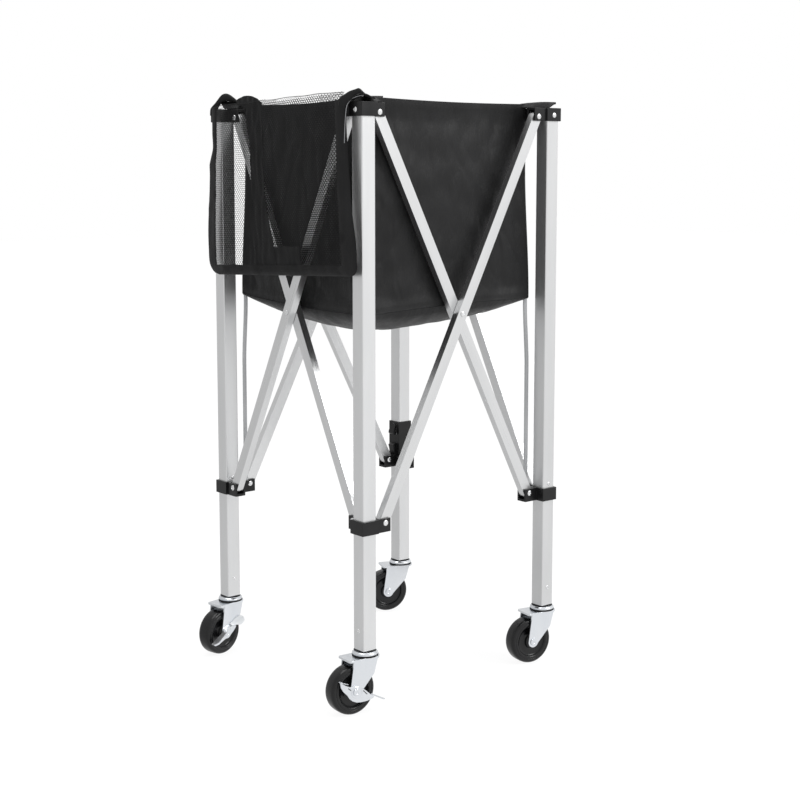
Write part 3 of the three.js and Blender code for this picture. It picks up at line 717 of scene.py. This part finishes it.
def cord(k):
    """A ribbed cord from its slider up behind the bag's corner."""
    rows = []
    z = SLIDER_TOP + 0.3
    while z < BAG_LOW + CORD_BEHIND_BAG:
        inwards = CORD_IN + CORD_LEAN * ease((z - SLIDER_TOP - CORD_LEAN_FROM) / CORD_LEAN_OVER)
        place = spot(k, inwards, inwards, z)
        radius = CORD_RADIUS + CORD_RIB * (-1) ** len(rows)
        rows.append([place + np.array([a, b, 0]) for a, b in oval(radius, radius, sides=16)])
        z += CORD_STEP
    corner = CORNERS[k]
    hides = (f"bag_cord_{corner}",)
    piece(f"cord_look_{corner}", *capped(rows), ELASTIC, f"slide_{corner}", hides, sharp=ROUND)


for k in range(4):
    if f"bag_cord_{CORNERS[k]}" in frame["nodes"]:
        cord(k)

# Bag

# How far the walls stand inside the legs' line at the rim and below it, and their corners at the rim, with
# what these move inwards just under the rim and outwards again towards the foot
RIM_WALL = 20.4
WALL = 18.6
RIM_CORNER = 24.3
WAIST_IN = 0.6
FOOT_OUT = 5.4
SAG = 36.0
# Drop of the rim below the panel's top and lift of the foot above its bottom, at each corner and mid side
RIM_DROP = (2.5, 5.0, 4.0, 3.5)
RIM_MIDDLE = (2.4, 2.4, 2.4, 5.0)
FOOT_LIFT = (-0.5, 9.0, 9.0, 12.0)
FOOT_MIDDLE = (3.0, 0.0, 0.0, -4.0)
# The folds in the walls: their depth and pitch, and how far they reach from the corners
FOLD_REACH = 55.0
END_FADE = 26
GATHER_DEPTH, GATHER_PITCH = 2.0, 5.2
SLANT_DEPTH, SLANT_PITCH = 2.2, 13
BULGE_DEPTH = 5.5
CREASE_DEPTH = 1.9
# The hem round the rim and the seam round the foot: their distance from the edge, depth and width
HEM, HEM_DEPTH, HEM_WIDTH = 11, 0.7, 1.5
SEAM, SEAM_DEPTH, SEAM_WIDTH = 3.2, 0.8, 1.1
STITCH_FADE = 8
CLOTH = 1.1
TAB_CLOTH = 1.2


def wall_line(v):
    """How far the wall stands inside the legs' line, and its corner's radius, down the bag from 0 to 1."""
    wall = RIM_WALL + (WALL - RIM_WALL) * ease(v * 5)
    corner = RIM_CORNER + WAIST_IN * ease(v * 3) - FOOT_OUT * ease((v - 0.3) / 0.7)
    return wall, (corner - wall) / (1 - math.sqrt(0.5))


def edge_line(corners, middles, k, u):
    """A value along side k, from its first corner at 0 to its next at 1."""
    return corners[k] * (1 - u) + corners[(k + 1) % 4] * u + middles[k] * math.sin(math.pi * u)


def wall_place(d, wall, radius, whole):
    """A place on the wall's line, which turns by an eighth of a circle at both ends."""
    arc = math.pi / 4 * radius
    if d < arc:
        a = -3 * math.pi / 4 + d / radius
        return wall + radius + radius * math.cos(a), wall + radius + radius * math.sin(a)
    if d > whole - arc:
        a = -math.pi / 4 - (whole - d) / radius
        return SPACING - wall - radius + radius * math.cos(a), wall + radius + radius * math.sin(a)
    return wall + radius + d - arc, wall


def wall_folds(k, d, z, v, whole):
    """How far the cloth stands in from its line: gathers, slanting folds, bulges, creases, hem and seam."""
    from_end = min(d, whole - d)
    inside = ease(from_end / END_FADE) * ease(v * 9) * ease((1 - v) * 12)
    near = math.exp(-from_end / FOLD_REACH)
    slope = (0.5 if d < whole / 2 else -0.5) * (BAG_TOP - z)
    wave = math.sin(d / GATHER_PITCH + 4 * ripple(d, z * 0.3, k * 90, 40))
    gather = (GATHER_DEPTH * near + 0.25) * (0.5 + 0.5 * wave)
    slant = 0.5 + 0.5 * math.sin((d + slope) / SLANT_PITCH + 5 * ripple(d, z, k * 70 + 9, 110))
    broad = 0.5 + 0.9 * ripple(d, z * 0.5, k * 50 + 3, 62) + 0.35 * ripple(d, z * 0.7, k * 20 + 5, 24)
    crease = max(0, 1 - 5.5 * abs(ripple(d + slope * 0.6, z * 0.35, k * 31 + 2, 34))) ** 2
    depth = inside * (gather * (0.5 + 0.5 * v) + SLANT_DEPTH * slant * near + BULGE_DEPTH * max(broad, 0))
    depth += inside * CREASE_DEPTH * crease * (0.25 + 1.1 * near)
    height = BAG_TOP - BAG_LOW
    stitched = ease(from_end / STITCH_FADE)
    depth += HEM_DEPTH * ease((v * height - HEM) / HEM_WIDTH) * stitched
    return depth + SEAM_DEPTH * math.exp(-((height * (1 - v) - SEAM) / SEAM_WIDTH) ** 2) * stitched


def panel(k):
    """One of the bag's walls, with its half of both corners."""
    surface = []
    for v in shares(92):
        wall, radius = wall_line(v)
        whole = SPACING - 2 * (wall + radius) + 2 * (math.pi / 4 * radius)
        row = []
        for u in shares(132):
            d = u * whole
            rim = BAG_TOP - 0.4 - edge_line(RIM_DROP, RIM_MIDDLE, k, u)
            z = rim + (BAG_LOW + edge_line(FOOT_LIFT, FOOT_MIDDLE, k, u) - rim) * v
            x, y = wall_place(d, wall, radius, whole)
            row.append(spot(k, x, y + wall_folds(k, d, z, v, whole), z))
        surface.append(row)
    body = ("frame_front", "frame_right", "frame_left", "frame_front")[k]
    points, faces = shell(surface, CLOTH, flip=True)
    made = piece(f"bag_wall_{SIDES[k]}", points, faces, NYLON, body, (f"bag_panel_{SIDES[k]}",), sharp=SOFT)
    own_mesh(made)


for k in range(4):
    panel(k)


def floor_height(x, y, reach):
    """The sagging floor under the bag: x and y run from the middle, along the front leg's two sides."""
    u, v = (x / reach + 1) / 2, (y / reach + 1) / 2
    lift = (FOOT_LIFT[0] * (1 - u) + FOOT_LIFT[1] * u) * (1 - v)
    lift += (FOOT_LIFT[3] * (1 - u) + FOOT_LIFT[2] * u) * v
    lift += FOOT_MIDDLE[0] * math.sin(math.pi * u) * (1 - v)
    lift += FOOT_MIDDLE[3] * math.sin(math.pi * v) * (1 - u)
    inside = max(0.0, (1 - abs(x / reach) ** 3) * (1 - abs(y / reach) ** 3))
    return BAG_LOW + lift - SAG * inside ** 0.6 * (1 - 0.2 * (x + y) / reach)


def bag_floor(half, first):
    """Half of the sagging floor. First is the corner where its hinge starts."""
    wall, radius = wall_line(1.0)
    reach = SPACING / 2 - wall
    turn = 1 if first == 0 else -1
    surface = []
    for t in shares(44):
        y = -reach * (1 - t) ** 1.3
        inset = max(0.0, abs(y) - (reach - radius))
        half_width = reach - radius + math.sqrt(max(radius ** 2 - inset ** 2, 0))
        row = []
        for u in shares(72):
            s = math.sin(math.pi / 2 * (2 * u - 1))
            x = s * half_width
            place = spot(first, reach + wall + x, reach + wall + y, 0)
            edge = ease((1 - abs(s)) * 9) * ease((1 - abs(y / reach)) * 9)
            fold = 1.3 * edge * (ripple(place[0], place[1], 5, 38) + 0.5 * ripple(place[0], place[1], 9, 15))
            row.append((place[0], place[1], floor_height(turn * x, turn * y, reach) + fold))
        surface.append(row)
    points, faces = shell(surface, CLOTH)
    hides = (f"bag_bottom_{half}",)
    made = piece(f"bag_floor_{half}", points, faces, NYLON, f"bottom_{half}", hides, sharp=SOFT)
    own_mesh(made)


bag_floor("front", 0)
bag_floor("back", 2)

# Each tab's start and end over its bracket, its half width at the root and near the tip, and its ridge's rise
TABS = ((0, 50, 25, 15, 2.0), (-9, 47.5, 14, 7, 2.5), (0, 48, 25, 8, 1.0), (0, 38, 25, 12, 4.0))
TAB_ROOT = 24.6
TAB_CLEAR = 0.4


def flap(k):
    """The bag's corner tab, carried over the top bracket like a leaf whose sides rest on it."""
    start, end, root, tip, rise = TABS[k]
    seat = TOP + TAB_CLEAR
    surface = []
    for e in shares(33):
        rounding = math.sqrt(max(1 - max(0, e - 0.8) ** 2 * 22, 0.1))
        half_width = (root + (tip - root) * ease(e * 1.2)) * rounding
        ridge = BAG_TOP - 0.6 - RIM_DROP[k] + rise * math.sin(math.pi * min(e * 0.8, 0.5))
        along = start + (end - start) * e
        settled = ease((along - 2 * start) / 6) * (1 - 0.75 * ease((e - 0.78) / 0.22))
        row = []
        for s in shares(33):
            f = 2 * s - 1
            x = TAB_ROOT - (along - f * half_width) / math.sqrt(2)
            y = TAB_ROOT - (along + f * half_width) / math.sqrt(2)
            z = ridge - (ridge - seat) * settled * abs(f) ** 1.6
            row.append(spot(k, x, y, max(z + 0.5 * ripple(x, y, k * 40, 9) * ease(e * 5), seat)))
        surface.append(row)
    points, faces = shell(surface, TAB_CLOTH)
    piece(f"bag_tab_{CORNERS[k]}", points, faces, NYLON, f"frame_{CORNERS[k]}", sharp=SOFT)


for k in range(4):
    flap(k)

# Pocket

# In the pocket's own frame y runs towards the left leg and z up, both from its middle. It hangs a little
# tilted, aside from the middle of the side and over the brackets.
POCKET_LOW, POCKET_HIGH = box_mm("pocket")
POCKET_BACK = POCKET_HIGH[0]
POCKET_ASIDE = 5
POCKET_OVER = 13
POCKET_MIDDLE = (LEG[0][1] + LEG[3][1]) / 2 + POCKET_ASIDE
POCKET_HEIGHT = 276.0
POCKET_HEAD, POCKET_FOOT = POCKET_HEIGHT / 2, -POCKET_HEIGHT / 2
POCKET_CENTRE = TOP + POCKET_OVER - POCKET_HEIGHT / 2
TILT = math.radians(2.6)
# Each side's distance from the middle line at the top, its widenings below as (how much, from what height,
# over what height), and the radius of its corner at the foot
LEFT_SIDE = (175, ((1, 138, 70), (13, 72, 32), (13, 42, 125)), 30)
RIGHT_SIDE = (188, ((5, 90, 140), (10, -20, 85)), 15)
# How far the net's layers stand out from the legs at the edge, and what the back layer gives up in the middle
EDGE_OUT = 8.0
BACK_SINK = 6.8
# The belly's clearance inside the CAD pocket, its rise from the sides and the foot, and its share at the foot
BELLY_CLEAR = 1.5
BELLY_FROM_SIDE = 62
BELLY_FROM_FOOT = 60
BELLY_FOOT_SHARE = 0.55
# The net: its cells' pitch and rows, how far they reach, and its margin inside the sides
NET_PITCH = 5.6
NET_STEP = 3.2
NET_REACH = 210
NET_MARGIN = 4
# The tape's inner edges, from the pocket's middle line and over its foot
TAPE_LEFT = 162
TAPE_RIGHT = -165
TAPE_FOOT = 17


def side_at(z, wide, widenings, radius):
    """A side's distance from the middle line at a height, with a round corner at the foot."""
    for amount, high, over in widenings:
        wide += amount * ease((high - z) / over)
    left = max(z + POCKET_HEIGHT / 2, 0)
    return wide - (radius - math.sqrt(radius ** 2 - (radius - left) ** 2) if left < radius else 0.0)


def left_edge(z):
    """The pocket's edge beside the left leg."""
    return side_at(z, *LEFT_SIDE)


def right_edge(z):
    """The pocket's edge beside the front leg."""
    return -side_at(z, *RIGHT_SIDE)


def top_line(y):
    """Height of the net's upper edge over the pocket's middle."""
    return POCKET_HEAD - 5.5 + 0.015 * y + 1.5 * ripple(y, 3, 8, 40)


def pocket_at(y, z, out):
    """A place in the pocket's own frame, out from its back."""
    return np.array([POCKET_BACK - out, POCKET_MIDDLE + y * math.cos(TILT) + z * math.sin(TILT),
                     POCKET_CENTRE - y * math.sin(TILT) + z * math.cos(TILT)])


def belly(y, z, front=True):
    """How far the net stands out from the legs."""
    edge = ease(min(left_edge(z) - y, y - right_edge(z)) / BELLY_FROM_SIDE)
    if not front:
        return EDGE_OUT - BACK_SINK * edge
    rise = ease((z + POCKET_HEIGHT / 2) / BELLY_FROM_FOOT)
    middle_out = POCKET_BACK - POCKET_LOW[0] - EDGE_OUT - BELLY_CLEAR
    return EDGE_OUT + middle_out * edge * (BELLY_FOOT_SHARE + (1 - BELLY_FOOT_SHARE) * rise)


def net_cell(strand):
    """Corners of a cell of the net, and of the hole in it."""
    def ring(side, low, high):
        return [(side, low), (0, high), (-side, low), (-side, -low), (0, -high), (side, -low)]

    low, high = 0.22 * NET_STEP, 0.78 * NET_STEP
    slope = math.atan2(high - low, NET_PITCH / 2)
    side = (NET_PITCH - strand) / 2
    hole = high - strand / 2 / math.cos(slope)
    return ring(NET_PITCH / 2, low, high), ring(side, hole - math.tan(slope) * side, hole)


def net(front, strand, seed, high_y=math.inf):
    """One layer of six-sided net as flat strands round each hole, as far as high_y towards the left leg."""
    outer, inner = net_cell(strand)
    points, faces, index = [], [], {}

    def add(y, z):
        key = (round(y * 50), round(z * 50))
        if key not in index:
            index[key] = len(points)
            points.append(pocket_at(y, z, belly(y, z, front) + 0.6 * ripple(y, z, seed, 22)))
        return index[key]

    steps = int(NET_REACH / NET_PITCH)
    for r in range(int(POCKET_HEIGHT / NET_STEP) + 1):
        z = POCKET_FOOT + 5 + r * NET_STEP
        end = min(left_edge(z) - NET_MARGIN, high_y + 2.5 * ripple(0, z, seed, 60))
        for c in range(-steps, steps + 1):
            y = c * NET_PITCH + (NET_PITCH / 2 if r % 2 else 0)
            if right_edge(z) + NET_MARGIN < y < end and z <= top_line(y):
                ring = [add(y + a, z + b) for a, b in outer]
                hole = [add(y + a, z + b) for a, b in inner]
                faces.extend((ring[i], ring[(i + 1) % 6], hole[(i + 1) % 6], hole[i]) for i in range(6))
    return points, faces


def pocket_piece(name, points, faces, material, hides=()):
    made = piece(name, points, faces, material, "frame_front", hides, sharp=SOFT)
    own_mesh(made)


pocket_piece("net_front", *net(True, strand=0.8, seed=4), NET, ("pocket",))
pocket_piece("net_back", *net(False, strand=0.9, seed=40, high_y=58.0), NET)


def strip(name, low, high, bottom, top, out):
    """Black cloth sewn along the net. Low and high give its sides at each height, and top its upper edge
    along y."""
    surface = []
    for s in shares(70):
        row = []
        for w in shares(40):
            z = bottom + (POCKET_HEAD - bottom) * s
            y = low(z) + (high(z) - low(z)) * w
            z = bottom + (top(y) - bottom) * s
            wrinkle = 0.5 * math.sin(y / 2.6 + 5 * ripple(y, z, 7, 60)) + 1.6 * ripple(y, z * 0.4, 9, 9)
            row.append(pocket_at(y, z, belly(y, min(z, POCKET_HEAD)) + out + 0.8 * wrinkle))
        surface.append(row)
    pocket_piece(name, *shell(surface, 1.0, flip=True), BINDING)


def gather_right(z):
    return 17 - 19 * ease((-5 - z) / 90) + 2 * ripple(0, z, 5, 30)


def gather_left(z):
    wide = 53 + 8 * ease((-z + 10) / 120) + 8 * ease((z - 60) / 45)
    return wide + 1.5 * ripple(0, z, 9, 25) + 24 * ease((z - 118) / 14)


def gather_top(y):
    return 126 + 19 * math.sin(math.pi * np.clip((y - 12) / 96, 0, 1)) ** 0.7


# The net is gathered double along a strip beside the left leg, which ends at the top in a round lobe
strip("net_fold_left", gather_right, gather_left, 8 + POCKET_FOOT, gather_top, out=-2.5)
# A gathered patch at the foot
strip("net_fold_foot", lambda z: -69 - 2 * ripple(0, z, 5, 9), lambda z: 62, 6 + POCKET_FOOT,
      lambda y: -93 + 2.5 * ripple(y, 0, 3, 20), out=-3.0)


def binding():
    """The black tape down both sides and along the foot."""
    low_z, left_top, right_top = POCKET_FOOT, POCKET_HEAD - 4, POCKET_HEAD - 18
    line = [(left_edge(z), z) for z in np.linspace(left_top, low_z, 90)]
    line += [(y, low_z) for y in np.linspace(left_edge(low_z), right_edge(low_z), 82)[1:-1]]
    line += [(right_edge(z), z) for z in np.linspace(low_z, right_top, 90)]
    rows = []
    for y, z in line:
        # The tape's inner edge is a rounded rectangle inside the outline
        inner_y = np.clip(y, TAPE_RIGHT - 4 * ease(-z / 90), TAPE_LEFT + 0.06 * (100 - z))
        inner_z = max(z, low_z + TAPE_FOOT + 1.6 * ripple(y, 0, 7, 22))
        row = []
        for a in angles(12):
            w = 0.5 - 0.5 * math.cos(a)
            at_y, at_z = y + (inner_y - y) * w, z + (inner_z - z) * w
            bulge = 2.2 + 1.2 * ripple(at_y, at_z, 3, 18)
            out = EDGE_OUT + (belly(at_y, at_z) - EDGE_OUT) * w * 0.8 + bulge * math.sin(a)
            row.append(pocket_at(at_y, at_z, out))
        rows.append(row)
    return capped(rows)


def top_cord():
    """A thread along the top edge of the net."""
    ends = right_edge(POCKET_HEAD) + 3, left_edge(POCKET_HEAD) - 3
    path = [pocket_at(y, top_line(y) + 0.6, belly(y, top_line(y))) for y in np.linspace(*ends, 90)]
    return tube(path, oval(0.45, 0.45))


pocket_piece("pocket_binding", *binding(), BINDING)
pocket_piece("net_edge", *top_cord(), BINDING)

# Straps that carry the pocket

# Ways across and through the cart as the camera sees it, and how square the straps' section is
ACROSS = np.array([0.7071, -0.7071, 0])
THROUGH = np.array([0.7071, 0.7071, 0])
SQUARENESS = 0.55


def smooth(path):
    """A curve through the points of a path, with six steps to each."""
    path = np.array([path[0], *path, path[-1]], float)
    out = []
    for i in range(1, len(path) - 2):
        a, b, c, d = path[i - 1:i + 3]
        for t in np.linspace(0, 1, 7)[:-1]:
            out.append(0.5 * (2 * b + (c - a) * t + (2 * a - 5 * b + 4 * c - d) * t * t
                              + (3 * b - a - 3 * c + d) * t ** 3))
    return out + [path[-1]]


def arch(name, outer, inner, leg, near, far, hides, seed, material=BINDING):
    """Cloth bent over a leg in the upright plane across the cart. Outer and inner are its edges as
    (across, up) from the top of the leg's bracket, near and far its faces along the way through the cart."""
    top = np.array([LEG[leg][0], LEG[leg][1], TOP])
    rows = []
    for high, low in zip(smooth(outer), smooth(inner)):
        row = []
        for a in angles(20):
            # A rounded oblong section: from the outer edge to the inner one, and from near to far
            p, q = (math.copysign(abs(x) ** SQUARENESS, x) for x in (math.cos(a), math.sin(a)))
            edge = high * (0.5 + 0.5 * p) + low * (0.5 - 0.5 * p)
            depth = near + (far - near) * (0.5 + 0.5 * q)
            up = edge[1] + 0.5 * ripple(edge[0], depth, seed, 8)
            row.append(top + ACROSS * edge[0] + THROUGH * depth + np.array([0, 0, up]))
        rows.append(row)
    piece(name, *capped(rows), material, f"frame_{CORNERS[leg]}", hides, sharp=SOFT)


arch("hanger_front_look", [
    (-36, -4), (-35, 4), (-31, 8.5), (-26.8, 10.7), (-19.5, 15.1), (-12.2, 17.6), (-5.7, 19.3), (0.9, 13.8),
    (8.2, 8), (18, 6.8),
], [
    (-24.7, -23.6), (-24, -14), (-23, -8), (-21.5, -4), (-19.5, -1.5), (-13.7, 4), (-6, 7.2), (-0.5, 8.6),
    (7.5, 6), (18, 3.5),
], 0, -10, 2, ("pocket_hanger_front",), seed=11)
# A painted highlight along the strap's edge, in pale cloth
arch("hanger_front_highlight", [
    (-26, -60), (-25.2, -40), (-24.1, -22), (-22.4, -8), (-18.9, -1), (-13.2, 4.8), (-5.6, 8), (2, 9),
], [
    (-27.1, -60), (-26.3, -40), (-25.2, -22), (-23.5, -8), (-20, -1.4), (-14, 3.8), (-5.9, 6.9), (2, 7.9),
], 0, -13.5, -11.5, (), seed=12, material=EDGE_HIGHLIGHT)
arch("hanger_left_look", [
    (-21, -10), (-20.5, -1), (-18.2, 3.4), (-12, 10.2), (-5.4, 19), (0.4, 24.4), (6.2, 25.8), (12.8, 23.5),
    (21, 17.3), (27, 12),
], [
    (-9.8, -14), (-9.5, -3), (-8, 2.5), (-4.5, 8), (0, 11), (4, 12.7), (9, 13), (14, 12.8), (21, 11.5),
    (27, 9),
], 3, -12, 3, ("pocket_hanger_left",), seed=13)

# Floor, light and camera

WHITE = (1, 1, 1, 1)
FLOOR_GLOW = 1.06
FLOOR_GLOW_SHARE = 0.86
FLOOR_HALF = 14.0


def add_floor():
    """A white floor that glows, so that only a faint shadow stays on it."""
    made, tree, shader = new_material("floor_white")
    tree.nodes.remove(shader)
    grain = noise_on(tree, coordinate(tree), scale=0.8)
    colour = mixed_colour(tree, grain, (0.9, 0.9, 0.9), (0.92, 0.92, 0.92))
    diffuse = node(tree, "ShaderNodeBsdfDiffuse", {"Color": colour})
    glow = node(tree, "ShaderNodeEmission", {"Strength": FLOOR_GLOW})
    inputs = {0: FLOOR_GLOW_SHARE, 1: diffuse.outputs[0], 2: glow.outputs[0]}
    mix = node(tree, "ShaderNodeMixShader", inputs)
    tree.links.new(mix.outputs[0], tree.nodes["Material Output"].inputs["Surface"])
    mesh = bpy.data.meshes.new("floor")
    corners = [(a * FLOOR_HALF, b * FLOOR_HALF, 0) for a, b in ((-1, -1), (1, -1), (1, 1), (-1, 1))]
    mesh.from_pydata(corners, [], [(0, 1, 2, 3)])
    mesh.materials.append(made)
    floor = bpy.data.objects.new("floor", mesh)
    bpy.context.scene.collection.objects.link(floor)
    floor.visible_glossy = False


def add_world():
    """White behind the cart, and light from all round that is brightest to the camera's right."""
    world = bpy.data.worlds.new("studio")
    bpy.context.scene.world = world
    world.use_nodes = True
    tree = world.node_tree
    tree.nodes.clear()
    facing = dot_with(tree, coordinate(tree, "Generated"), (0.63, -0.775, 0.1))
    level = mapped(tree, facing, 0.6, 0.93, start=-1.0, end=1.0)
    soft = node(tree, "ShaderNodeBackground", {"Color": WHITE, "Strength": level})
    white = node(tree, "ShaderNodeBackground", {"Color": WHITE, "Strength": 1.0})
    seen = node(tree, "ShaderNodeLightPath", {}).outputs["Is Camera Ray"]
    mix = node(tree, "ShaderNodeMixShader", {0: seen, 1: soft.outputs[0], 2: white.outputs[0]})
    node(tree, "ShaderNodeOutputWorld", {"Surface": mix.outputs[0]})


def aim(made, place, forward):
    """Put a lamp or the camera in its place, looking forward."""
    made.location = place
    made.rotation_mode = "QUATERNION"
    made.rotation_quaternion = Vector(forward).to_track_quat("-Z", "Y")
    bpy.context.scene.collection.objects.link(made)


def add_light(name, place, size, power):
    """A round lamp that looks at the cart's middle."""
    data = bpy.data.lights.new(name, "AREA")
    data.shape = "DISK"
    data.size = size
    data.energy = power
    aim(bpy.data.objects.new(name, data), place, Vector((0, 0, 0.5)) - Vector(place))


def add_camera():
    """The photo's camera, solved from it: angles, focal length in pixels of its 800 and place."""
    azimuth, pitch, focal, width = math.radians(39.222), math.radians(7.018), 1485.74, 800
    data = bpy.data.cameras.new("camera")
    data.sensor_width = 36
    data.lens = focal / width * data.sensor_width
    data.shift_y = -0.06
    camera = bpy.data.objects.new("camera", data)
    level = math.cos(pitch)
    forward = (math.sin(azimuth) * level, math.cos(azimuth) * level, -math.sin(pitch))
    aim(camera, (-1.51190, -1.92393, 0.82140), forward)
    bpy.context.scene.camera = camera


add_floor()
add_world()
add_light("key", (1.6, -2.6, 2.6), 1.8, 55)
add_light("top", (-0.4, 0.3, 3.2), 2.0, 30)
add_camera()
bpy.context.scene.view_settings.view_transform = "Standard"
